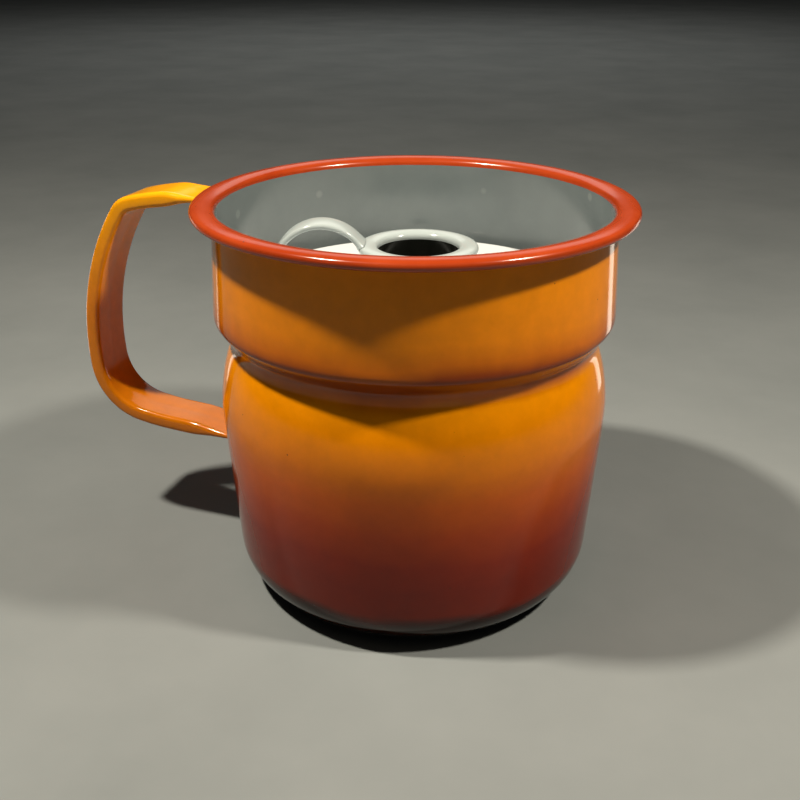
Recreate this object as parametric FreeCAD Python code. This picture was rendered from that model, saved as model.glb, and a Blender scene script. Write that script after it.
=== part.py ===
import FreeCAD, Part
import math
import os

# Enamelled pressed-steel milk boiler: a pot with a narrow neck and a wide collar, a strap
# handle, and a loose boil-over insert that stands on the shoulder inside the collar.
# Millimetres. Origin at the centre of the base, +Z up, the handle towards -X.

# ---- pot, driving dimensions ----
RIM_RADIUS = 90.0        # outside of the rolled rim
POT_HEIGHT = 168.9       # base to the top of the rim
STEEL = 1.0              # drawn sheet
COAT = 0.3               # one fired enamel coat

# ---- pot profile, along the middle of the sheet ----
BASE_FLAT_RADIUS = 56.2
BASE_CORNER_RADIUS = 21.2
BASE_COAT_TURN = 52.0    # part of the corner that the black base coat covers
BARREL_LEAN = 4.0        # barrel wall leans outward
BARREL_RUN = 58.2
SHOULDER_RADIUS = 69.2
SHOULDER_INWARD = 21.2   # wall leans inward by this where it meets the neck
NECK_RADIUS = 9.5
SEAT_SLOPE = 50.0        # conical seat for the insert, above horizontal
SEAT_RUN = 5.1
COLLAR_CORNER_RADIUS = 3.6
COLLAR_LEAN = 2.6        # collar wall leans inward
RIM_TURN_RADIUS = 2.0
RIM_CROWN = 20.0         # half the angle of the rim's crowned top
RIM_ROLL_RADIUS = 1.05
RIM_TAIL = 5.0           # the rolled edge comes back under the rim by this much

# ---- handle: a flattened tube, bent in the XZ plane, its two ends pressed thinner ----
HANDLE_WIDTH = 22.8
HANDLE_THICKNESS = 6.7
HANDLE_END = 2.5         # thickness of the pressed ends
HANDLE_CORNER = 2.0
HANDLE_WALL = 1.0
HANDLE_TOP = 162.8       # height of the upper limb at the collar
HANDLE_ROOT = 79.0       # its path starts inside the wall and is trimmed to it
HANDLE_TOP_RUN = 16.0
HANDLE_TOP_TAPER = (130.0, 7.2)
HANDLE_BENDS = ((130.0, 7.3), (10.5, 41.0), (115.2, 39.1), (25.4, 73.9), (130.0, 7.3))
HANDLE_LOW_RUN = 8.7
HANDLE_LOW_TAPER = 21.1

# ---- boil-over insert, enamelled on both sides ----
INSERT_SHEET = 1.2
INSERT_TURN = 17.6       # the loose insert stands turned by this from the handle
INSERT_SHIFT = 1.6       # and off centre by this, along its own +X
PLATE_MIDDLE = 132.0     # height of the flat middle of the plate
PLATE_HOLE_RADIUS = 18.6
PLATE_FLAT_RUN = 12.0
PLATE_FALL = 1.5         # plate slopes down to its edge
PLATE_RUN = 37.2
PLATE_CORNER_RADIUS = 4.0
SKIRT_LEAN = 8.0
SKIRT_RUN = 7.3
DRAIN_HOLES = 6
DRAIN_HOLE_RADIUS = 3.5
DRAIN_CIRCLE_RADIUS = 64.0
CHIMNEY_TOP = 149.95
CHIMNEY_FLANGE_RADIUS = 26.0
CHIMNEY_FOOT_RADIUS = 4.0
CHIMNEY_LEAN = 6.0
LIP_RADIUS = 24.8
LIP_TURN_RADIUS = 1.6
LIP_CROWN = 18.0
LIP_ROLL_RADIUS = 1.1
LIP_TAIL = 3.6

# ---- finger loop of the insert: a flattened rod, arched from the lip to the plate ----
LOOP_WIDTH = 13.0
LOOP_THICKNESS = 3.0
LOOP_CROWN = 0.3
LOOP_START = (22.3, 147.5)
LOOP_RISE = 62.0
LOOP_ARCH_RADIUS = 19.7
LOOP_FALL_RUN = 18.5

# ---- welds ----
WELD = 0.9               # thickness of the bead around a joint
UPPER_WELD_REACH = 5.0   # from the handle's root out to the bead's end
LOWER_WELD_REACH = 4.5
LIP_WELD_TURN = 17.0     # share of the loop's arch, from its start
FOOT_WELD_REACH = 3.6    # from the loop's far end


class Path:
    """A smooth line of runs and bends in the (r, z) plane; left of travel is positive."""

    def __init__(self, r, z, heading):
        self.pen = (r, z, math.radians(heading))
        self.steps = []

    def run(self, length):
        r, z, h = self.pen
        self.steps.append(("run", self.pen, length))
        self.pen = (r + length * math.cos(h), z + length * math.sin(h), h)
        return self

    def bend(self, radius, turn):
        """Turn left by a positive angle, right by a negative one."""
        step = ("bend", self.pen, radius, math.radians(turn))
        self.steps.append(step)
        r, z = self.place(step, 1.0, 0.0)
        self.pen = (r, z, self.pen[2] + step[3])
        return self

    @staticmethod
    def place(step, share, offset):
        """Point at a share of the step's length, moved to the left by offset."""
        r, z, h = step[1]
        if step[0] == "run":
            r += share * step[2] * math.cos(h)
            z += share * step[2] * math.sin(h)
            return r - offset * math.sin(h), z + offset * math.cos(h)
        radius, turn = step[2], step[3]
        side = math.copysign(1.0, turn)
        centre_r = r - side * radius * math.sin(h)
        centre_z = z + side * radius * math.cos(h)
        h += share * turn
        reach = side * radius - offset
        return centre_r + reach * math.sin(h), centre_z - reach * math.cos(h)

    def edges(self, offset=0.0, first=0, last=None, side=1.0):
        """Edges of the steps, offset to the left, in the XZ plane (side -1 puts r along -X)."""
        out = []
        for step in self.steps[first:last]:
            shares = (0.0, 1.0) if step[0] == "run" else (0.0, 0.5, 1.0)
            points = []
            for share in shares:
                r, z = self.place(step, share, offset)
                points.append(FreeCAD.Vector(side * r, 0, z))
            if step[0] == "run":
                out.append(Part.makeLine(*points))
            else:
                out.append(Part.Arc(*points).toShape())
        return out


def ends(edges):
    """First and last point of a chain of edges drawn in order."""
    return edges[0].valueAt(edges[0].FirstParameter), edges[-1].valueAt(edges[-1].LastParameter)


def turned(edges):
    """Solid of revolution about Z of the area inside a closed chain of edges."""
    face = Part.Face(Part.Wire(Part.__sortEdges__(edges)))
    return face.revolve(FreeCAD.Vector(0, 0, 0), FreeCAD.Vector(0, 0, 1), 360)


def sheet(path, low, high, first=0, last=None):
    """Turned layer of a path between two offsets."""
    lower = path.edges(low, first, last)
    upper = path.edges(high, first, last)
    caps = [Part.makeLine(a, b) for a, b in zip(ends(lower), ends(upper))]
    return turned(lower + upper + caps)


def filled(path, offset, first=0, last=None):
    """Everything between the axis and an offset path, closed straight across at its ends."""
    chain = path.edges(offset, first, last)
    start, end = ends(chain)
    corners = [end, FreeCAD.Vector(0, 0, end.z), FreeCAD.Vector(0, 0, start.z), start]
    closing = [Part.makeLine(a, b) for a, b in zip(corners, corners[1:]) if a != b]
    return turned(chain + closing)


def outline_at(pen, corners):
    """Closed wire across a path that runs towards -X, at one of its pens.

    Corners are (y, n) points in pairs (end, middle), each pair and the next end on one arc
    or, where they are in line, one straight edge."""
    r, z, h = pen
    across = FreeCAD.Vector(0, 1, 0)
    outward = FreeCAD.Vector(math.sin(h), 0, math.cos(h))
    place = [FreeCAD.Vector(-r, 0, z) + across * y + outward * n for y, n in corners]
    out = []
    for i in range(0, len(place), 2):
        a, middle, b = place[i], place[i + 1], place[(i + 2) % len(place)]
        if (middle - a).cross(b - a).Length < 1e-7:
            out.append(Part.makeLine(a, b))
        else:
            out.append(Part.Arc(a, middle, b).toShape())
    return Part.Wire(out)


def flat_oval(width, thickness, crown):
    """Corners of a flattened rod's outline: round edges, gently crowned faces."""
    half = width / 2
    edge = thickness / 2 - crown
    return [(-half + edge, -edge), (-half, 0), (-half + edge, edge), (0, thickness / 2),
            (half - edge, edge), (half, 0), (half - edge, -edge), (0, -thickness / 2)]


def rounded_bar(width, thickness, corner):
    """Corners of a bar's outline with flat faces and rounded corners."""
    corner = min(corner, 0.45 * thickness)
    half, t = width / 2, thickness / 2
    inset = corner * (1 - math.sqrt(0.5))
    quarter = [(half - corner, t), (half - inset, t - inset), (half, t - corner), (half, 0)]
    lower = [(half, -t + corner), (half - inset, -t + inset), (half - corner, -t), (0, -t)]
    right = quarter + lower
    return right + [(-y, -n) for y, n in right]


def swept(path, corners, first=0, last=None):
    """Solid of an outline carried along steps of a path that runs towards -X."""
    spine = Part.Wire(path.edges(0.0, first, last, side=-1.0))
    return spine.makePipeShell([outline_at(path.steps[first][1], corners)], True, False)


def tapered(path, index, first, last):
    """Solid along one step of a path, easing from one outline's corners to another's."""
    step = path.steps[index]
    sections = []
    for share in (0.0, 0.25, 0.5, 0.75, 1.0):
        r, z = path.place(step, share, 0.0)
        turn = share * step[3] if step[0] == "bend" else 0.0
        ease = share * share * (3 - 2 * share)
        corners = [(y + ease * (v - y), n + ease * (w - n))
                   for (y, n), (v, w) in zip(first, last)]
        sections.append(outline_at((r, z, step[1][2] + turn), corners))
    return Part.makeLoft(sections, True, False)


def one_solid(shape):
    """The largest solid of a trimmed shape, with its split faces merged."""
    solid = max(shape.Solids, key=lambda s: s.Volume)
    return solid.removeSplitter()


def crowned_edge(path, top, outside, turn_radius, crown, roll_radius):
    """Carries a rising path up, outward over a crowned top and back under itself.

    top and outside are the highest and the outermost point of the path itself."""
    heading = path.pen[2]
    slope = math.radians(crown)
    turn_rise = turn_radius * (math.cos(slope) - math.cos(heading))
    turn_reach = turn_radius * (math.sin(heading) - math.sin(slope))
    roll_reach = roll_radius * (1 - math.sin(slope))
    share = 1 - math.cos(slope)
    lean = math.cos(heading) / math.sin(heading)
    # The crown's radius sets how high the wall goes, and the wall's lean sets the radius.
    width = outside - roll_reach - turn_reach - path.pen[0]
    rise = top - turn_rise - path.pen[1]
    crown_radius = (width - rise * lean) / (2 * math.sin(slope) - share * lean)
    path.run((rise - crown_radius * share) / math.sin(heading))
    path.bend(turn_radius, crown - math.degrees(heading))
    path.bend(crown_radius, -2 * crown)
    path.bend(roll_radius, crown - 180.0)


def pot_path():
    """Middle of the pot's sheet, from the centre of the base to the rolled edge."""
    coat_turn_left = 90.0 - BARREL_LEAN - BASE_COAT_TURN
    path = Path(0.0, COAT + STEEL / 2, 0.0)
    path.run(BASE_FLAT_RADIUS)
    path.bend(BASE_CORNER_RADIUS, BASE_COAT_TURN)
    path.bend(BASE_CORNER_RADIUS, coat_turn_left)
    path.run(BARREL_RUN)
    path.bend(SHOULDER_RADIUS, BARREL_LEAN + SHOULDER_INWARD)
    path.bend(NECK_RADIUS, SEAT_SLOPE - 90.0 - SHOULDER_INWARD)
    path.run(SEAT_RUN)
    path.bend(COLLAR_CORNER_RADIUS, 90.0 + COLLAR_LEAN - SEAT_SLOPE)
    crowned_edge(path, POT_HEIGHT - COAT - STEEL / 2, RIM_RADIUS - COAT - STEEL / 2,
                 RIM_TURN_RADIUS, RIM_CROWN, RIM_ROLL_RADIUS)
    return path.run(RIM_TAIL)


# Steps of the pot's path at which one coat's colour gives way to the next.
BASE_END = 2             # after the lower part of the corner
WALL_END = 9             # where the rim starts to turn outward
LIP_STEP = 3             # step of the chimney's path that turns its lip outward


def handle_path():
    path = Path(HANDLE_ROOT, HANDLE_TOP, 0.0)
    path.run(HANDLE_TOP_RUN)
    path.bend(HANDLE_TOP_TAPER[0], -HANDLE_TOP_TAPER[1])
    for radius, turn in HANDLE_BENDS:
        path.bend(radius, -turn)
    path.run(HANDLE_LOW_RUN)
    path.run(HANDLE_LOW_TAPER)
    return path.run((path.pen[0] - HANDLE_ROOT) / abs(math.cos(path.pen[2])))


def plate_path():
    path = Path(PLATE_HOLE_RADIUS, PLATE_MIDDLE, 0.0)
    path.run(PLATE_FLAT_RUN)
    path.bend(150.0, -PLATE_FALL)
    path.run(PLATE_RUN)
    path.bend(PLATE_CORNER_RADIUS, PLATE_FALL + SKIRT_LEAN - 90.0)
    return path.run(SKIRT_RUN)


def chimney_path():
    half = INSERT_SHEET / 2
    path = Path(CHIMNEY_FLANGE_RADIUS, PLATE_MIDDLE + INSERT_SHEET, 180.0)
    path.run(3.6)
    path.bend(CHIMNEY_FOOT_RADIUS, CHIMNEY_LEAN - 90.0)
    crowned_edge(path, CHIMNEY_TOP - half, LIP_RADIUS - half,
                 LIP_TURN_RADIUS, LIP_CROWN, LIP_ROLL_RADIUS)
    return path.run(LIP_TAIL)


def loop_path():
    """Arch from the lip, then straight down to the plate at the slope it started with."""
    path = Path(*LOOP_START, LOOP_RISE)
    path.bend(LOOP_ARCH_RADIUS, -2 * LOOP_RISE)
    return path.run(LOOP_FALL_RUN)


def weld_bead(stretch, corners, trims):
    """Bead around a strap's end: a swollen stretch of it, less the strap and what it meets."""
    bead = swept(stretch, corners)
    for trim in trims:
        bead = bead.cut(trim)
    return one_solid(bead)


def backward(path):
    """Pen at the far end of a path, pointing back along it."""
    r, z, h = path.pen
    return r, z, math.degrees(h) + 180.0


def handle_bar(route, inset):
    """The handle's outside, or its bore when inset by the wall."""
    width = HANDLE_WIDTH - 2 * inset
    corner = HANDLE_CORNER - inset
    thin = rounded_bar(width, HANDLE_END - 2 * inset, corner)
    thick = rounded_bar(width, HANDLE_THICKNESS - 2 * inset, corner)
    bar = swept(route, thin, 0, 1)
    for piece in (tapered(route, 1, thin, thick), swept(route, thick, 2, 8),
                  tapered(route, 8, thick, thin), swept(route, thin, 9)):
        bar = bar.fuse(piece)
    return bar.removeSplitter()


def make_pot():
    path = pot_path()
    steel = STEEL / 2
    glazed = steel + COAT
    parts = {}
    parts["pot_shell"] = sheet(path, -steel, steel)
    parts["base_enamel"] = sheet(path, -glazed, -steel, 0, BASE_END)
    outer = sheet(path, -glazed, -steel, BASE_END, WALL_END)
    parts["inner_enamel"] = sheet(path, steel, glazed, 0, WALL_END)
    parts["rim_enamel"] = sheet(path, steel, glazed, WALL_END)

    inside_wall = filled(path, -steel, 0, WALL_END)
    rim_mass = filled(path, glazed, WALL_END)
    route = handle_path()
    bar = one_solid(handle_bar(route, 0.0).cut(inside_wall).cut(rim_mass))
    parts["handle"] = one_solid(bar.cut(handle_bar(route, HANDLE_WALL)))

    swollen = rounded_bar(HANDLE_WIDTH + 2 * WELD, HANDLE_END + 2 * WELD, HANDLE_CORNER)
    upper = Path(HANDLE_ROOT, HANDLE_TOP, 0.0).run(UPPER_WELD_REACH)
    lower = Path(*backward(route)).run(LOWER_WELD_REACH)
    parts["handle_upper_weld"] = weld_bead(upper, swollen, (bar, inside_wall, rim_mass))
    parts["handle_lower_weld"] = weld_bead(lower, swollen, (bar, inside_wall))
    for node in ("handle_upper_weld", "handle_lower_weld"):
        outer = outer.cut(parts[node])
    parts["outer_enamel"] = one_solid(outer.cut(bar))
    return parts


def make_insert():
    half = INSERT_SHEET / 2
    parts = {}
    plate = plate_path()
    disc = sheet(plate, -half, half)
    for i in range(DRAIN_HOLES):
        angle = math.radians((i + 0.5) * 360.0 / DRAIN_HOLES)
        at = FreeCAD.Vector(DRAIN_CIRCLE_RADIUS * math.cos(angle),
                            DRAIN_CIRCLE_RADIUS * math.sin(angle), PLATE_MIDDLE - 10.0)
        disc = disc.cut(Part.makeCylinder(DRAIN_HOLE_RADIUS, 20.0, at))
    parts["insert_plate"] = disc

    flue = chimney_path()
    parts["chimney"] = sheet(flue, -half, half)
    top = PLATE_MIDDLE + half
    toe = CHIMNEY_FLANGE_RADIUS
    corners = [(toe, top), (toe + WELD, top), (toe, top + INSERT_SHEET)]
    points = [FreeCAD.Vector(r, 0, z) for r, z in corners]
    parts["chimney_weld"] = turned([Part.makeLine(points[i], points[(i + 1) % 3])
                                    for i in range(3)])

    plate_mass = filled(plate, half)
    lip_mass = filled(flue, half, LIP_STEP)
    route = loop_path()
    rod = flat_oval(LOOP_WIDTH, LOOP_THICKNESS, LOOP_CROWN)
    loop = one_solid(swept(route, rod).cut(plate_mass).cut(lip_mass))
    parts["finger_loop"] = loop
    swollen = flat_oval(LOOP_WIDTH + WELD, LOOP_THICKNESS + WELD, LOOP_CROWN)
    trims = (loop, plate_mass, lip_mass)
    lip_end = Path(*LOOP_START, LOOP_RISE).bend(LOOP_ARCH_RADIUS, -LIP_WELD_TURN)
    foot_end = Path(*backward(route)).run(FOOT_WELD_REACH)
    parts["loop_lip_weld"] = weld_bead(lip_end, swollen, trims)
    parts["loop_foot_weld"] = weld_bead(foot_end, swollen, trims)
    return parts


def in_place(shape):
    """Stand an insert piece on the pot's shoulder, turned and off centre as it lies."""
    shape = shape.copy()
    shape.translate(FreeCAD.Vector(INSERT_SHIFT, 0, 0))
    shape.rotate(FreeCAD.Vector(0, 0, 0), FreeCAD.Vector(0, 0, 1), INSERT_TURN)
    return shape


def main():
    os.makedirs("parts", exist_ok=True)
    nodes = make_pot()
    for name, shape in make_insert().items():
        nodes[name] = in_place(shape)
    for name, shape in nodes.items():
        shape.exportStep(os.path.join("parts", name + ".step"))
        print(name, "valid" if shape.isValid() else "NOT VALID", len(shape.Solids),
              round(shape.Volume), shape.BoundBox)


main()
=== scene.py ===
import math

import bpy
from mathutils import Matrix, Vector


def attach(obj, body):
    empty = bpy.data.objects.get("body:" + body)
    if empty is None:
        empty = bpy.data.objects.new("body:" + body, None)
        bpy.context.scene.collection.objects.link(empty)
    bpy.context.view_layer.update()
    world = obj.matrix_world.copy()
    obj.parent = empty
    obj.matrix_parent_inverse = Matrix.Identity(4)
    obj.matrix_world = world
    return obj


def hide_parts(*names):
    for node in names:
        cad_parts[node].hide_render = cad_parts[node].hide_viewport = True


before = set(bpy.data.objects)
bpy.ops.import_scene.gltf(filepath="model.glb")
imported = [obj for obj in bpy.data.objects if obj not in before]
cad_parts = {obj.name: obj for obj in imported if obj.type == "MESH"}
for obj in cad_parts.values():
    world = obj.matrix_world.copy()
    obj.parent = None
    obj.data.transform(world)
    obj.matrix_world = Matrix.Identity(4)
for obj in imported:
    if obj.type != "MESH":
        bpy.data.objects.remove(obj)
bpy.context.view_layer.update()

# Enamelled milk boiler with a loose boil-over insert. The figures below are millimetres and
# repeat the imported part's; each mesh is made in metres, in the part's own frame.

MM = 0.001
TURN_STEPS = 288

# ---- pot ----
RIM_RADIUS = 89.99
POT_HEIGHT = 168.87
STEEL = 1.0
COAT = 0.3
BASE_FLAT_RADIUS = 56.2
BASE_CORNER_RADIUS = 21.2
BASE_COAT_TURN = 52.0
BARREL_LEAN = 4.0
BARREL_RUN = 58.2
SHOULDER_RADIUS = 69.2
SHOULDER_INWARD = 21.2
NECK_RADIUS = 9.5
SEAT_SLOPE = 50.0
SEAT_RUN = 5.1
COLLAR_CORNER_RADIUS = 3.6
COLLAR_LEAN = 2.6
RIM_TURN_RADIUS = 2.0
RIM_CROWN = 20.0
RIM_ROLL_RADIUS = 1.05
RIM_TAIL = 5.0
BASE_END = 2
WALL_END = 9

# ---- handle ----
HANDLE_WIDTH = 22.8
HANDLE_THICKNESS = 6.68
HANDLE_END = 2.5
HANDLE_CORNER = 2.0
HANDLE_TOP = 162.8
HANDLE_ROOT = 79.0
HANDLE_TOP_RUN = 16.0
HANDLE_TOP_TAPER = (130.0, 7.2)
HANDLE_BENDS = ((130.0, 7.3), (10.5, 41.0), (115.2, 39.1), (25.4, 73.9), (130.0, 7.3))
HANDLE_LOW_RUN = 8.7
HANDLE_LOW_TAPER = 21.1
HANDLE_SEAM = 0.25       # depth of the shallow valley along the handle's inner face
UNDER_RIM = 164.6        # the upper limb's end is tucked under the rolled rim
ROLL_RADIUS = 88.4       # inside this the rolled rim hangs over the upper limb
UPPER_LIMB = 150.0       # the upper limb lies above this height
WALL_BITE = 0.7          # the handle runs into the wall by this much
FILLET_ROOT = 0.6        # its fillets start this far inside the wall
FILLET_REACH = 3.6
FILLET_SWELL = 0.86
SKIN = 0.02              # a fillet's thin end stands this far off what it covers

# ---- insert ----
INSERT_SHEET = 1.2
INSERT_TURN = 17.6
INSERT_SHIFT = 1.6
PLATE_MIDDLE = 132.0
PLATE_HOLE_RADIUS = 18.6
PLATE_FLAT_RUN = 12.0
PLATE_FALL = 1.5
PLATE_RUN = 37.2
PLATE_CORNER_RADIUS = 4.0
SKIRT_LEAN = 8.0
SKIRT_RUN = 7.3
DRAIN_HOLES = 6
DRAIN_HOLE_RADIUS = 3.5
DRAIN_CIRCLE_RADIUS = 64.0
CHIMNEY_TOP = 149.95
CHIMNEY_FLANGE_RADIUS = 26.0
CHIMNEY_FOOT_RADIUS = 4.0
CHIMNEY_LEAN = 6.0
LIP_RADIUS = 24.8
LIP_TURN_RADIUS = 1.6
LIP_CROWN = 18.0
LIP_ROLL_RADIUS = 1.1
LIP_TAIL = 3.6
LOOP_WIDTH = 13.0
LOOP_THICKNESS = 3.0
LOOP_CROWN = 0.3
LOOP_START = (22.3, 147.5)
LOOP_RISE = 62.0
LOOP_ARCH_RADIUS = 19.7
LOOP_FALL_RUN = 18.5
LOOP_BITE = 0.4          # the loop's foot sinks this far into the plate
LIP_FILLET_SWELL = 0.5
FOOT_FILLET_SWELL = 0.6
FOOT_FILLET_TOP = 134.9
CHIMNEY_FILLET = (1.3, 1.15)     # width and height of the concave bead round the chimney
THROAT_RADIUS = 18.42    # between the chimney's two faces, at the height of THROAT_FOOT
THROAT_FOOT = 136.8
THROAT_EDGE = 146.8      # below this height the chimney's inside is painted near-black as shade
HOLE_EDGE = 0.4          # rounding of the drain holes' edges
HOLE_PROUD = 0.12        # the cutters stand this far past the plate's two faces
CUTTER = (0.6, 3.0)      # a cutter is wider than its hole and taller than the plate by these

# ---- camera, millimetres and degrees ----
CAMERA_AT = (125.17, -394.57, 265.99)
CAMERA_TILT = 65.7
CAMERA_AZIMUTH = 18.42
CAMERA_LENS = 46.57


# ------------------------------------------------------------------ profiles

class Path:
    """Runs and bends in the (r, z) plane; left of travel is positive."""

    def __init__(self, r, z, heading):
        self.pen = (r, z, math.radians(heading))
        self.steps = []

    def run(self, length):
        r, z, h = self.pen
        self.steps.append(("run", self.pen, length))
        self.pen = (r + length * math.cos(h), z + length * math.sin(h), h)
        return self

    def bend(self, radius, turn):
        step = ("bend", self.pen, radius, math.radians(turn))
        self.steps.append(step)
        r, z, h = self.place(step, 1.0, 0.0)
        self.pen = (r, z, h)
        return self

    @staticmethod
    def place(step, share, offset):
        """(r, z, heading) at a share of a step, moved to the left by offset."""
        r, z, h = step[1]
        if step[0] == "run":
            r += share * step[2] * math.cos(h)
            z += share * step[2] * math.sin(h)
            return r - offset * math.sin(h), z + offset * math.cos(h), h
        radius, turn = step[2], step[3]
        side = math.copysign(1.0, turn)
        centre_r = r - side * radius * math.sin(h)
        centre_z = z + side * radius * math.cos(h)
        h += share * turn
        reach = side * radius - offset
        return centre_r + reach * math.sin(h), centre_z - reach * math.cos(h), h

    def line(self, offset=0.0, first=0, last=None, pitch=1.6):
        """Points (r, z, heading) along the steps, no further apart than pitch."""
        out = []
        for step in self.steps[first:last]:
            if step[0] == "run":
                count = max(1, math.ceil(step[2] / pitch))
            else:
                length = step[2] * abs(step[3])
                count = max(math.ceil(length / pitch), math.ceil(abs(step[3]) / 0.13))
            begin = 0 if not out else 1
            for i in range(begin, count + 1):
                out.append(self.place(step, i / count, offset))
        return out


def crowned_edge(path, top, outside, turn_radius, crown, roll_radius):
    """Carries a rising path up, outward over a crowned top and back under itself."""
    heading = path.pen[2]
    slope = math.radians(crown)
    share = 1 - math.cos(slope)
    lean = math.cos(heading) / math.sin(heading)
    turn_reach = turn_radius * (math.sin(heading) - math.sin(slope))
    width = outside - roll_radius * (1 - math.sin(slope)) - turn_reach - path.pen[0]
    rise = top - turn_radius * (math.cos(slope) - math.cos(heading)) - path.pen[1]
    crown_radius = (width - rise * lean) / (2 * math.sin(slope) - share * lean)
    path.run((rise - crown_radius * share) / math.sin(heading))
    path.bend(turn_radius, crown - math.degrees(heading))
    path.bend(crown_radius, -2 * crown)
    path.bend(roll_radius, crown - 180.0)


def pot_path():
    path = Path(0.0, COAT + STEEL / 2, 0.0)
    path.run(BASE_FLAT_RADIUS)
    path.bend(BASE_CORNER_RADIUS, BASE_COAT_TURN)
    path.bend(BASE_CORNER_RADIUS, 90.0 - BARREL_LEAN - BASE_COAT_TURN)
    path.run(BARREL_RUN)
    path.bend(SHOULDER_RADIUS, BARREL_LEAN + SHOULDER_INWARD)
    path.bend(NECK_RADIUS, SEAT_SLOPE - 90.0 - SHOULDER_INWARD)
    path.run(SEAT_RUN)
    path.bend(COLLAR_CORNER_RADIUS, 90.0 + COLLAR_LEAN - SEAT_SLOPE)
    crowned_edge(path, POT_HEIGHT - COAT - STEEL / 2, RIM_RADIUS - COAT - STEEL / 2,
                 RIM_TURN_RADIUS, RIM_CROWN, RIM_ROLL_RADIUS)
    return path.run(RIM_TAIL)


def handle_path():
    path = Path(HANDLE_ROOT, HANDLE_TOP, 0.0)
    path.run(HANDLE_TOP_RUN)
    path.bend(HANDLE_TOP_TAPER[0], -HANDLE_TOP_TAPER[1])
    for radius, turn in HANDLE_BENDS:
        path.bend(radius, -turn)
    path.run(HANDLE_LOW_RUN)
    path.run(HANDLE_LOW_TAPER)
    return path.run((path.pen[0] - HANDLE_ROOT) / abs(math.cos(path.pen[2])))


def handle_rows(pitch=1.2):
    """Points along the handle and the bar's thickness at each; its two ends are thinner."""
    route = handle_path()
    rows = []
    for k in range(len(route.steps)):
        points = route.line(0.0, k, k + 1, pitch)
        for i, point in enumerate(points):
            share = i / (len(points) - 1)
            ease = share * share * (3 - 2 * share)
            full = {0: 0.0, 1: ease, 8: 1.0 - ease, 9: 0.0}.get(k, 1.0)
            if i or not rows:
                rows.append((point, HANDLE_END + full * (HANDLE_THICKNESS - HANDLE_END)))
    return rows


def plate_path():
    path = Path(PLATE_HOLE_RADIUS, PLATE_MIDDLE, 0.0)
    path.run(PLATE_FLAT_RUN)
    path.bend(150.0, -PLATE_FALL)
    path.run(PLATE_RUN)
    path.bend(PLATE_CORNER_RADIUS, PLATE_FALL + SKIRT_LEAN - 90.0)
    return path.run(SKIRT_RUN)


def chimney_path():
    half = INSERT_SHEET / 2
    path = Path(CHIMNEY_FLANGE_RADIUS, PLATE_MIDDLE + INSERT_SHEET, 180.0)
    path.run(3.6)
    path.bend(CHIMNEY_FOOT_RADIUS, CHIMNEY_LEAN - 90.0)
    crowned_edge(path, CHIMNEY_TOP - half, LIP_RADIUS - half,
                 LIP_TURN_RADIUS, LIP_CROWN, LIP_ROLL_RADIUS)
    return path.run(LIP_TAIL)


def loop_path():
    path = Path(*LOOP_START, LOOP_RISE)
    path.bend(LOOP_ARCH_RADIUS, -2 * LOOP_RISE)
    return path.run(LOOP_FALL_RUN)


# ------------------------------------------------------------------ meshes

def make_mesh(name, points, faces, sharp=35.0):
    """A smooth-shaded object of millimetre points."""
    mesh = bpy.data.meshes.new(name)
    mesh.from_pydata([(x * MM, y * MM, z * MM) for x, y, z in points], [], faces)
    mesh.validate()
    mesh.shade_smooth()
    mesh.set_sharp_from_angle(angle=math.radians(sharp))
    obj = bpy.data.objects.new(name, mesh)
    bpy.context.scene.collection.objects.link(obj)
    return obj


def turned(name, outline, sharp=35.0, steps=TURN_STEPS, centre=(0.0, 0.0)):
    """Closed outline of (r, z) points, counter-clockwise, turned about an upright axis."""
    points, rings, faces = [], [], []
    for r, z in outline:
        if r < 1e-6:
            rings.append([len(points)] * steps)
            points.append((centre[0], centre[1], z))
            continue
        rings.append(list(range(len(points), len(points) + steps)))
        for i in range(steps):
            a = 2 * math.pi * i / steps
            points.append((centre[0] + r * math.cos(a), centre[1] + r * math.sin(a), z))
    for k, ring in enumerate(rings):
        after = rings[(k + 1) % len(rings)]
        for i in range(steps):
            j = (i + 1) % steps
            corners = []
            for corner in (ring[i], ring[j], after[j], after[i]):
                if corner not in corners:
                    corners.append(corner)
            if len(corners) > 2:
                faces.append(corners)
    return make_mesh(name, points, faces, sharp)


def layer(path, low, high, first=0, last=None, pitch=1.6, low_pitch=None):
    """Outline of the layer between two offsets of a path."""
    lower = path.line(low, first, last, low_pitch or pitch)
    upper = path.line(high, first, last, pitch)
    return [(r, z) for r, z, _ in lower] + [(r, z) for r, z, _ in reversed(upper)]


def bar(thickness, seam=0.0, arc=6, flat=14):
    """The handle's outline as (y, n): rounded corners, a shallow valley along its inside."""
    half, t = HANDLE_WIDTH / 2, thickness / 2
    corner = min(HANDLE_CORNER, 0.45 * thickness)
    out = []
    for quarter, (sy, sn) in enumerate(((1, -1), (1, 1), (-1, 1), (-1, -1))):
        for i in range(arc):
            a = math.pi / 2 * (quarter - 1 + i / (arc - 1))
            out.append((sy * (half - corner) + corner * math.cos(a),
                        sn * (t - corner) + corner * math.sin(a)))
        if quarter % 2:
            side = sn
            for i in range(1, flat):
                y = side * (half - corner) * (1 - 2 * i / flat)
                valley = seam * math.exp(-(y / 2.2) ** 2) if side < 0 else 0.0
                out.append((y, side * (t - valley)))
    return out


def oval(width, thickness, crown, arc=9, flat=14):
    """Flattened rod's outline as (y, n): round edges and gently crowned faces."""
    half, edge = width / 2, thickness / 2 - crown
    straight = half - edge
    out = []
    for side in (1.0, -1.0):
        for i in range(arc):
            a = -math.pi / 2 + math.pi * i / (arc - 1)
            out.append((side * (straight + edge * math.cos(a)), side * edge * math.sin(a)))
        for i in range(1, flat):
            y = straight * (1 - 2 * i / flat)
            out.append((side * y, side * (edge + crown * (1 - (y / straight) ** 2))))
    return out


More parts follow.
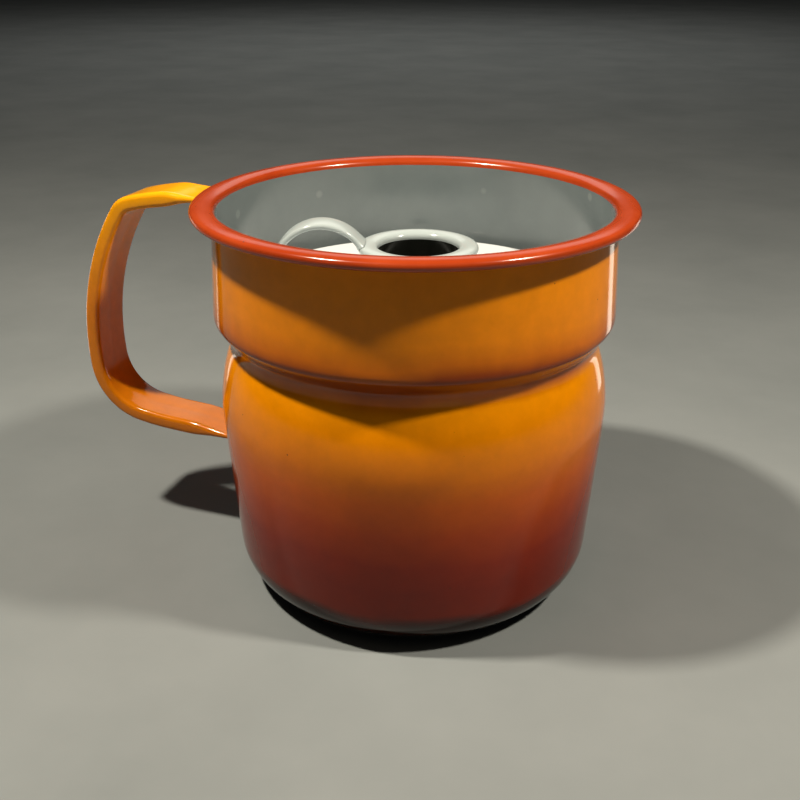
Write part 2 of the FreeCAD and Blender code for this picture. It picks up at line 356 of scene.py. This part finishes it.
def outline_normals(outline):
    """Unit normals of a closed (y, n) outline, pointing away from its middle."""
    out = []
    count = len(outline)
    for i, (y, n) in enumerate(outline):
        before, after = outline[i - 1], outline[(i + 1) % count]
        dy, dn = after[0] - before[0], after[1] - before[1]
        length = math.hypot(dy, dn) or 1.0
        out.append((dn / length, -dy / length))
    return out


def swept(name, line, outline, grow=None, fit=None, sharp=50.0):
    """An outline, or one outline a row, carried along points that run towards -X.

    grow(share) swells the outline by that many millimetres; fit moves the finished points."""
    outlines = outline if isinstance(outline[0], list) else [outline] * len(line)
    points, faces = [], []
    count, rows = len(outlines[0]), len(line)
    for k, (r, z, h) in enumerate(line):
        swell = grow(k / (rows - 1)) if grow else 0.0
        for (y, n), (ny, nn) in zip(outlines[k], outline_normals(outlines[k])):
            y, n = y + swell * ny, n + swell * nn
            points.append((-(r - n * math.sin(h)), y, z + n * math.cos(h)))
    for k in range(rows - 1):
        for i in range(count):
            j = (i + 1) % count
            a, b = k * count, (k + 1) * count
            faces.append((a + i, b + i, b + j, a + j))
    faces.append(list(range(count)))
    faces.append([(rows - 1) * count + i for i in reversed(range(count))])
    if fit:
        points = [fit(*p) for p in points]
    return make_mesh(name, points, faces, sharp)


def wall_radius():
    """Outside radius of the pot's wall as a function of height."""
    line = pot_path().line(-STEEL / 2 - COAT, 0, WALL_END, 0.5)
    table = [(z, r) for r, z, _ in line]

    def radius(height):
        for (z0, r0), (z1, r1) in zip(table, table[1:]):
            if z0 <= height <= z1:
                return r0 + (r1 - r0) * (height - z0) / max(z1 - z0, 1e-9)
        return table[-1][1]
    return radius


def onto_insert(obj):
    """Stands an insert piece in the collar, turned and off centre as it lies."""
    turn = Matrix.Rotation(math.radians(INSERT_TURN), 4, "Z")
    obj.data.transform(turn @ Matrix.Translation((INSERT_SHIFT * MM, 0.0, 0.0)))
    return obj


def settle(obj, body, node, slot, material):
    """The piece stands for a node of the part, moves with its body and wears a material."""
    obj.data.materials.clear()
    obj.data.materials.append(material)
    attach(obj, body)
    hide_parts(node)


# ------------------------------------------------------------------ materials

class Finish:
    """Builds one node material."""

    def __init__(self, name, roughness, ior=1.5):
        self.material = bpy.data.materials.new(name)
        self.material.use_nodes = True
        self.nodes = self.material.node_tree.nodes
        self.links = self.material.node_tree.links
        self.shader = self.nodes["Principled BSDF"]
        self.shader.inputs["Roughness"].default_value = roughness
        self.shader.inputs["IOR"].default_value = ior
        self.place = self.nodes.new("ShaderNodeTexCoord").outputs["Object"]
        split = self.nodes.new("ShaderNodeSeparateXYZ")
        self.links.new(self.place, split.inputs[0])
        self.x, self.y, self.z = split.outputs

    def feed(self, socket, value):
        if isinstance(value, (int, float, tuple)):
            socket.default_value = value
        else:
            self.links.new(value, socket)

    def maths(self, operation, a, b=0.0, c=0.0):
        node = self.nodes.new("ShaderNodeMath")
        node.operation = operation
        for socket, value in zip(node.inputs, (a, b, c)):
            self.feed(socket, value)
        return node.outputs[0]

    def noise(self, scale, detail=2.0, rough=0.5, stretch=(1.0, 1.0, 1.0), shift=0.0):
        spread = self.nodes.new("ShaderNodeMapping")
        spread.inputs["Scale"].default_value = stretch
        spread.inputs["Location"].default_value = (shift, shift * 0.7, shift * 1.3)
        self.links.new(self.place, spread.inputs["Vector"])
        node = self.nodes.new("ShaderNodeTexNoise")
        node.inputs["Scale"].default_value = scale
        node.inputs["Detail"].default_value = detail
        node.inputs["Roughness"].default_value = rough
        self.links.new(spread.outputs[0], node.inputs["Vector"])
        return node.outputs["Fac"]

    def range(self, value, low, high, to_low=0.0, to_high=1.0):
        node = self.nodes.new("ShaderNodeMapRange")
        node.inputs["From Min"].default_value = low
        node.inputs["From Max"].default_value = high
        node.inputs["To Min"].default_value = to_low
        node.inputs["To Max"].default_value = to_high
        self.feed(node.inputs["Value"], value)
        return node.outputs["Result"]

    def ramp(self, value, stops):
        """Colours at places from 0 to 1, blended smoothly."""
        node = self.nodes.new("ShaderNodeValToRGB")
        node.color_ramp.interpolation = "LINEAR"
        elements = node.color_ramp.elements
        while len(elements) > 1:
            elements.remove(elements[-1])
        for i, (place, colour) in enumerate(stops):
            element = elements[0] if i == 0 else elements.new(place)
            element.position = place
            element.color = (*colour, 1.0)
        self.feed(node.inputs["Fac"], value)
        return node.outputs["Color"]

    def mix(self, share, a, b, blend="MIX"):
        node = self.nodes.new("ShaderNodeMix")
        node.data_type = "RGBA"
        node.blend_type = blend
        self.feed(node.inputs["Factor"], share)
        for socket, value in ((node.inputs[6], a), (node.inputs[7], b)):
            self.feed(socket, (*value, 1.0) if isinstance(value, tuple) else value)
        return node.outputs[2]

    def specks(self, scale, size, share, shift=0.0):
        """1 inside a few scattered round specks, 0 elsewhere."""
        spread = self.nodes.new("ShaderNodeMapping")
        spread.inputs["Location"].default_value = (shift, shift, shift)
        self.links.new(self.place, spread.inputs["Vector"])
        node = self.nodes.new("ShaderNodeTexVoronoi")
        node.inputs["Scale"].default_value = scale
        self.links.new(spread.outputs[0], node.inputs["Vector"])
        dot = self.range(node.outputs["Distance"], size * 0.6, size, 1.0, 0.0)
        pick = self.nodes.new("ShaderNodeSeparateColor")
        self.links.new(node.outputs["Color"], pick.inputs[0])
        return self.maths("MULTIPLY", dot, self.maths("LESS_THAN", pick.outputs[0], share))

    def bump(self, heights):
        """Sum of (0 to 1 field, millimetres) as surface relief."""
        total = None
        for field, depth in heights:
            part = self.maths("MULTIPLY", field, depth * MM)
            total = part if total is None else self.maths("ADD", total, part)
        node = self.nodes.new("ShaderNodeBump")
        node.inputs["Strength"].default_value = 1.0
        node.inputs["Distance"].default_value = 1.0
        self.links.new(total, node.inputs["Height"])
        self.links.new(node.outputs["Normal"], self.shader.inputs["Normal"])

    def wear(self, colour, roughness=None):
        self.feed(self.shader.inputs["Base Color"], colour)
        if roughness is not None:
            self.feed(self.shader.inputs["Roughness"], roughness)
        return self.material


def fired_relief(finish, wave=0.05, peel=0.004):
    """Slow waves of pressed sheet and the fine skin of fired enamel."""
    slow = finish.noise(26.0, 1.0, 0.4)
    fine = finish.noise(330.0, 2.0, 0.5)
    finish.bump(((slow, wave), (fine, peel)))


def shade_by_height(finish, stops, drift):
    """Colours at heights in millimetres, their edges drifting as sprayed enamel does."""
    top = stops[-1][0]
    cloud = finish.noise(22.0, 3.0, 0.55, (1.0, 1.0, 0.6))
    drifted = finish.maths("SUBTRACT", cloud, 0.5)
    height = finish.maths("MULTIPLY_ADD", drifted, drift * MM, finish.z)
    share = finish.range(height, 0.0, top * MM)
    return finish.ramp(share, [(h / top, colour) for h, colour in stops])


# Colours of the orange coat at heights above the worktop. The two dark bands, at the foot and
# under the collar, stand for shade that the lights alone leave too bright.
FLAME = (
    (0.0, (0.012, 0.003, 0.001)),
    (14.0, (0.016, 0.003, 0.001)),
    (17.0, (0.060, 0.005, 0.001)),
    (20.0, (0.175, 0.011, 0.0005)),
    (32.0, (0.185, 0.011, 0.0005)),
    (44.0, (0.240, 0.016, 0.0005)),
    (58.0, (0.390, 0.045, 0.0005)),
    (72.0, (0.580, 0.100, 0.0005)),
    (88.0, (0.760, 0.205, 0.0005)),
    (108.0, (0.860, 0.280, 0.0005)),
    (113.0, (0.540, 0.120, 0.0005)),
    (117.0, (0.230, 0.032, 0.0005)),
    (123.0, (0.260, 0.038, 0.0005)),
    (128.0, (0.620, 0.150, 0.0005)),
    (136.0, (0.820, 0.240, 0.0005)),
    (168.0, (0.900, 0.285, 0.0005)),
)


def flame_enamel():
    finish = Finish("flame_enamel", 0.09, 1.36)
    colour = shade_by_height(finish, FLAME, 9.0)
    mottle = finish.range(finish.noise(120.0, 3.0, 0.6), 0.3, 0.7, 0.93, 1.05)
    colour = finish.mix(1.0, colour, grey(finish, mottle), "MULTIPLY")
    colour = finish.mix(finish.specks(240.0, 0.09, 0.05), colour, (0.09, 0.02, 0.005))
    fired_relief(finish)
    streak = finish.range(finish.noise(60.0, 3.0, 0.6), 0.35, 0.7, 0.07, 0.13)
    return finish.wear(colour, streak)


def grey(finish, value):
    """One number as a grey colour."""
    node = finish.nodes.new("ShaderNodeCombineColor")
    for socket in node.inputs:
        finish.feed(socket, value)
    return node.outputs[0]


def handle_enamel():
    finish = Finish("handle_enamel", 0.1, 1.4)
    stops = (
        (50.0, (0.600, 0.165, 0.003)),
        (75.0, (0.660, 0.190, 0.003)),
        (110.0, (0.700, 0.200, 0.003)),
        (140.0, (0.850, 0.300, 0.004)),
        (166.0, (0.950, 0.400, 0.006)),
    )
    colour = shade_by_height(finish, stops, 10.0)
    mottle = finish.range(finish.noise(160.0, 3.0, 0.6), 0.3, 0.7, 0.93, 1.05)
    colour = finish.mix(1.0, colour, grey(finish, mottle), "MULTIPLY")
    colour = finish.mix(finish.specks(260.0, 0.09, 0.06), colour, (0.12, 0.03, 0.01))
    fired_relief(finish, 0.04, 0.004)
    streak = finish.range(finish.noise(80.0, 3.0, 0.6), 0.35, 0.7, 0.08, 0.15)
    return finish.wear(colour, streak)


def rim_red_enamel():
    finish = Finish("rim_red_enamel", 0.1)
    cloud = finish.noise(45.0, 3.0, 0.55)
    colour = finish.ramp(cloud, ((0.3, (0.340, 0.036, 0.006)), (0.7, (0.410, 0.050, 0.009))))
    colour = finish.mix(finish.specks(300.0, 0.12, 0.04), colour, (0.10, 0.03, 0.02))
    fired_relief(finish, 0.03, 0.004)
    return finish.wear(colour, finish.range(cloud, 0.3, 0.7, 0.15, 0.22))


def grey_enamel():
    finish = Finish("grey_enamel", 0.16)
    cloud = finish.noise(30.0, 4.0, 0.55)
    colour = finish.ramp(cloud, ((0.3, (0.135, 0.160, 0.165)), (0.7, (0.165, 0.192, 0.196))))
    freckle = finish.maths("MULTIPLY", finish.specks(55.0, 0.13, 0.3, 0.013), 0.28)
    colour = finish.mix(freckle, colour, (0.33, 0.36, 0.35))
    colour = finish.mix(finish.specks(70.0, 0.035, 0.05, 0.031), colour, (0.03, 0.03, 0.03))
    fired_relief(finish, 0.05, 0.005)
    return finish.wear(colour, finish.range(cloud, 0.3, 0.7, 0.14, 0.22))


def white_enamel(name, tone_with_painted_light, paint_throat_shade=False):
    """White enamel whose colour carries painted light on the plate and painted shade on the chimney
    and loop; with the throat flag set, the chimney's inside below its lip's turn is painted
    near-black as shade.
    """
    finish = Finish(name, 0.12)
    cloud = finish.noise(40.0, 3.0, 0.55)
    colour = finish.ramp(cloud, ((0.3, tuple(0.95 * c for c in tone_with_painted_light)), (0.7, tone_with_painted_light)))
    colour = finish.mix(finish.specks(260.0, 0.08, 0.05), colour, (0.30, 0.31, 0.30))
    # Painted shade: inside the chimney, below the lip's turn, the white is painted near-black.
    if paint_throat_shade:
        turn = math.radians(INSERT_TURN)
        x = finish.maths("SUBTRACT", finish.x, INSERT_SHIFT * MM * math.cos(turn))
        y = finish.maths("SUBTRACT", finish.y, INSERT_SHIFT * MM * math.sin(turn))
        out = finish.maths("SQRT", finish.maths("ADD", finish.maths("MULTIPLY", x, x),
                                                finish.maths("MULTIPLY", y, y)))
        lean = math.tan(math.radians(CHIMNEY_LEAN))
        wall = finish.maths("MULTIPLY_ADD", finish.z, lean, out)
        inner = finish.maths("LESS_THAN", wall, (THROAT_RADIUS + THROAT_FOOT * lean) * MM)
        low = finish.maths("LESS_THAN", finish.z, THROAT_EDGE * MM)
        throat_shade_black = finish.ramp(cloud, ((0.3, (0.006, 0.007, 0.006)), (0.7, (0.012, 0.013, 0.011))))
        colour = finish.mix(finish.maths("MULTIPLY", inner, low), colour, throat_shade_black)
    fired_relief(finish, 0.04, 0.004)
    return finish.wear(colour, finish.range(cloud, 0.3, 0.7, 0.1, 0.17))


def base_black_enamel():
    finish = Finish("base_black_enamel", 0.2, 1.25)
    cloud = finish.noise(60.0, 4.0, 0.6)
    colour = finish.ramp(cloud, ((0.3, (0.005, 0.0045, 0.0045)), (0.7, (0.010, 0.009, 0.008))))
    scuffs = finish.range(finish.noise(420.0, 2.0, 0.7, (1.0, 1.0, 0.3)), 0.66, 0.74)
    foot = finish.range(finish.z, 0.0004, 0.0012, 0.6, 0.0)
    colour = finish.mix(finish.maths("MULTIPLY", scuffs, foot), colour, (0.20, 0.19, 0.18))
    fired_relief(finish, 0.05, 0.008)
    return finish.wear(colour, finish.range(cloud, 0.3, 0.7, 0.18, 0.34))


def bare_steel():
    finish = Finish("bare_steel", 0.35)
    finish.shader.inputs["Metallic"].default_value = 1.0
    brushed = finish.noise(300.0, 2.0, 0.5, (1.0, 1.0, 12.0))
    colour = finish.ramp(brushed, ((0.3, (0.36, 0.36, 0.37)), (0.7, (0.46, 0.46, 0.47))))
    finish.bump(((brushed, 0.01),))
    return finish.wear(colour, finish.range(brushed, 0.3, 0.7, 0.3, 0.42))


def worktop():
    finish = Finish("worktop", 0.6)
    finish.shader.inputs["Specular IOR Level"].default_value = 0.0
    cloud = finish.noise(6.0, 5.0, 0.6)
    colour = finish.ramp(cloud, ((0.3, (0.215, 0.235, 0.240)), (0.7, (0.258, 0.278, 0.283))))
    finish.bump(((finish.noise(120.0, 3.0, 0.6), 0.06),))
    return finish.wear(colour)


# ------------------------------------------------------------------ pieces

def build_pot():
    path = pot_path()
    steel, glazed = STEEL / 2, STEEL / 2 + COAT
    pieces = {}
    pieces["pot_shell"] = turned("steel_shell", layer(path, -steel, steel, pitch=4.0))
    pieces["base_enamel"] = turned("black_base_coat", layer(path, -glazed, -steel, 0, BASE_END))
    pieces["outer_enamel"] = turned(
        "flame_coat", layer(path, -glazed, -steel, BASE_END, WALL_END, 1.6))
    pieces["inner_enamel"] = turned("grey_coat", layer(path, steel, glazed, 0, WALL_END))
    pieces["rim_enamel"] = turned("red_rim_coat", layer(path, steel, glazed, WALL_END, None, 0.5))

    radius = wall_radius()

    def outside_wall(x, y, z):
        inside = radius(z) - WALL_BITE
        if math.hypot(x, y) < inside:
            x = -math.sqrt(inside ** 2 - y ** 2)
        if z > UPPER_LIMB and math.hypot(x, y) < ROLL_RADIUS:
            z = min(z, UNDER_RIM)
        return x, y, z

    rows = handle_rows()
    sections = [bar(thickness, HANDLE_SEAM * (thickness - HANDLE_END) / HANDLE_THICKNESS)
                for _, thickness in rows]
    pieces["handle"] = swept("strap_handle", [point for point, _ in rows], sections,
                             fit=outside_wall)

    plain = bar(HANDLE_END)
    route = handle_path()
    line = route.line(pitch=0.25)
    for node, forward in (("handle_upper_weld", True), ("handle_lower_weld", False)):
        root = [p for p in (line if forward else reversed(line))
                if p[0] > radius(p[1]) - FILLET_ROOT]
        length = 0.0
        stretch = [root[0]]
        for point in root[1:]:
            length += math.hypot(point[0] - stretch[-1][0], point[1] - stretch[-1][1])
            if length > FILLET_REACH:
                break
            stretch.append(point)
        if not forward:
            stretch = stretch[::-1]

        def flare(share, forward=forward):
            away = share if forward else 1.0 - share
            return FILLET_SWELL * (1.0 - away) ** 2 + SKIN

        pieces[node] = swept(node.replace("weld", "fillet"), stretch, plain, flare, outside_wall)
    return pieces


def drill(plate):
    """Drain holes with rounded edges through the plate."""
    cutters = []
    half = INSERT_SHEET / 2
    for i in range(DRAIN_HOLES):
        angle = math.radians((i + 0.5) * 360.0 / DRAIN_HOLES)
        x, y = DRAIN_CIRCLE_RADIUS * math.cos(angle), DRAIN_CIRCLE_RADIUS * math.sin(angle)
        fall = math.sin(math.radians(PLATE_FALL))
        middle = PLATE_MIDDLE - (DRAIN_CIRCLE_RADIUS - PLATE_HOLE_RADIUS - PLATE_FLAT_RUN) * fall
        wide, tall = DRAIN_HOLE_RADIUS + CUTTER[0], CUTTER[1]
        outline = [(0.0, middle - tall), (wide, middle - tall)]
        for side in (-1.0, 1.0):
            for k in range(7):
                a = math.pi / 2 * (k if side < 0 else 6 - k) / 6
                level = half + HOLE_PROUD - HOLE_EDGE * (1 - math.cos(a))
                outline.append((DRAIN_HOLE_RADIUS + HOLE_EDGE - HOLE_EDGE * math.sin(a),
                                middle + side * level))
        outline += [(wide, middle + tall), (0.0, middle + tall)]
        cutters.append(turned("drill", outline, steps=40, centre=(x, y)))
    for cutter in cutters:
        change = plate.modifiers.new("hole", "BOOLEAN")
        change.operation = "DIFFERENCE"
        change.solver = "EXACT"
        change.object = cutter
    view = bpy.context.evaluated_depsgraph_get()
    mesh = bpy.data.meshes.new_from_object(plate.evaluated_get(view))
    plate.modifiers.clear()
    plate.data = mesh
    mesh.set_sharp_from_angle(angle=math.radians(35.0))
    for cutter in cutters:
        bpy.data.objects.remove(cutter)
    return plate


def build_insert():
    half = INSERT_SHEET / 2
    pieces = {}
    plate = plate_path()
    pieces["insert_plate"] = drill(turned("insert_plate_skin", layer(plate, -half, half, pitch=2.4),
                                          steps=216))
    flue = chimney_path()
    pieces["chimney"] = turned("chimney_skin", layer(flue, -half, half, pitch=0.9)[::-1], steps=144)

    top = PLATE_MIDDLE + half
    toe = CHIMNEY_FLANGE_RADIUS
    wide, tall = CHIMNEY_FILLET
    foot = top + 0.01
    bead = [(toe - 0.05, foot), (toe + wide, foot)]
    for k in range(1, 7):
        a = math.pi / 2 * k / 6
        bead.append((toe + wide - wide * math.sin(a), foot + tall * (1 - math.cos(a))))
    pieces["chimney_weld"] = turned("chimney_fillet", bead, steps=144)

    route = loop_path()
    outline = oval(LOOP_WIDTH, LOOP_THICKNESS, LOOP_CROWN)
    floor = {round(r): z for r, z, _ in plate.line(half, pitch=0.5)}

    def above_plate(x, y, z):
        level = floor.get(round(math.hypot(x, y)), top) - LOOP_BITE
        return x, y, max(z, level)

    line = route.line(pitch=0.7)
    pieces["finger_loop"] = swept("finger_loop_skin", line, outline, fit=above_plate)
    pieces["loop_lip_weld"] = swept("loop_lip_fillet", line[3:9], outline,
                                    lambda share: SKIN + LIP_FILLET_SWELL * (1.0 - share) ** 2,
                                    above_plate)
    low = [p for p in line if p[1] < FOOT_FILLET_TOP]
    pieces["loop_foot_weld"] = swept("loop_foot_fillet", low[:9], outline,
                                     lambda share: SKIN + FOOT_FILLET_SWELL * share ** 2, above_plate)
    for obj in pieces.values():
        onto_insert(obj)
    return pieces


def soft_light(name, at, toward, size, power, colour, height=None):
    """An area light in the photograph's own frame, which is turned from the part's."""
    lamp = bpy.data.lights.new(name, "AREA")
    lamp.shape = "RECTANGLE" if height else "DISK"
    lamp.size = size
    if height:
        lamp.size_y = height
    lamp.energy = power
    lamp.color = colour
    obj = bpy.data.objects.new(name, lamp)
    bpy.context.scene.collection.objects.link(obj)
    turn = Matrix.Rotation(math.radians(INSERT_TURN), 3, "Z")
    place, aim = turn @ Vector(at), turn @ Vector(toward)
    obj.location = place
    obj.rotation_euler = (aim - place).to_track_quat("-Z", "Y").to_euler()
    return obj


def build_studio():
    scene = bpy.context.scene
    floor = make_mesh("floor", [(-9000, -9000, 0), (9000, -9000, 0), (9000, 9000, 0),
                                (-9000, 9000, 0)], [(0, 1, 2, 3)])
    floor.data.materials.append(worktop())
    floor.location.z = -0.0001

    warm = (1.0, 0.90, 0.74)
    soft_light("key_left", (-0.372, -0.129, 0.855), (0.0, 0.0, 0.11), 0.06, 9.0, warm)
    soft_light("key_right", (0.412, -0.213, 0.656), (0.0, 0.0, 0.11), 0.06, 4.8, warm)
    soft_light("fill", (0.0, -0.75, 1.35), (0.0, 0.0, 0.1), 0.8, 0.35, (1.0, 0.80, 0.60))
    soft_light("backdrop", (0.0, 2.3, 1.3), (0.0, 2.3, 0.0), 2.0, 9.0, (1.0, 0.96, 0.88))
    # Low strips behind the pot, seen only as soft streaks down the two sides of its enamel.
    for name, side in (("streak_left", -1.0), ("streak_right", 1.0)):
        strip = soft_light(name, (side * 0.275, 0.215, 0.07), (side * 0.08, 0.03, 0.07),
                           0.05, 0.06, warm, 0.18)
        strip.visible_camera = False
        strip.visible_diffuse = False

    world = bpy.data.worlds.new("studio")
    world.use_nodes = True
    back = world.node_tree.nodes["Background"]
    back.inputs["Color"].default_value = (1.0, 0.96, 0.88, 1.0)
    back.inputs["Strength"].default_value = 0.015
    scene.world = world

    data = bpy.data.cameras.new("camera")
    data.lens = CAMERA_LENS
    data.sensor_width = 36.0
    data.clip_start = 0.01
    camera = bpy.data.objects.new("camera", data)
    scene.collection.objects.link(camera)
    camera.location = [v * MM for v in CAMERA_AT]
    camera.rotation_euler = (math.radians(CAMERA_TILT), 0.0, math.radians(CAMERA_AZIMUTH))
    scene.camera = camera
    scene.view_settings.view_transform = "Standard"


def main():
    steel, flame, inside = bare_steel(), flame_enamel(), grey_enamel()
    rim, base, handle = rim_red_enamel(), base_black_enamel(), handle_enamel()
    # Painted light: one white enamel, in a lit, brighter copy for the plate and a shaded, darker copy
    # for the chimney and loop.
    plate_white_painted_light, white_painted_shade = (0.78, 0.82, 0.84), (0.42, 0.48, 0.485)
    skins = {
        "insert_plate": white_enamel("plate_enamel_painted_light", plate_white_painted_light),
        "chimney": white_enamel("chimney_enamel_painted_shade", white_painted_shade, True),
        "finger_loop": white_enamel("loop_enamel_painted_shade", white_painted_shade),
    }
    wears = {
        "pot_shell": ("bare_steel", steel),
        "outer_enamel": ("flame_enamel", flame),
        "inner_enamel": ("grey_enamel", inside),
        "rim_enamel": ("rim_red_enamel", rim),
        "base_enamel": ("base_black_enamel", base),
        "handle": ("handle_enamel", handle),
        "handle_upper_weld": ("handle_enamel", handle),
        "handle_lower_weld": ("handle_enamel", handle),
    }
    for node, obj in build_pot().items():
        settle(obj, "pot", node, *wears[node])
    for node, obj in build_insert().items():
        settle(obj, "insert", node, "white_enamel", skins.get(node, skins["finger_loop"]))
    build_studio()


main()
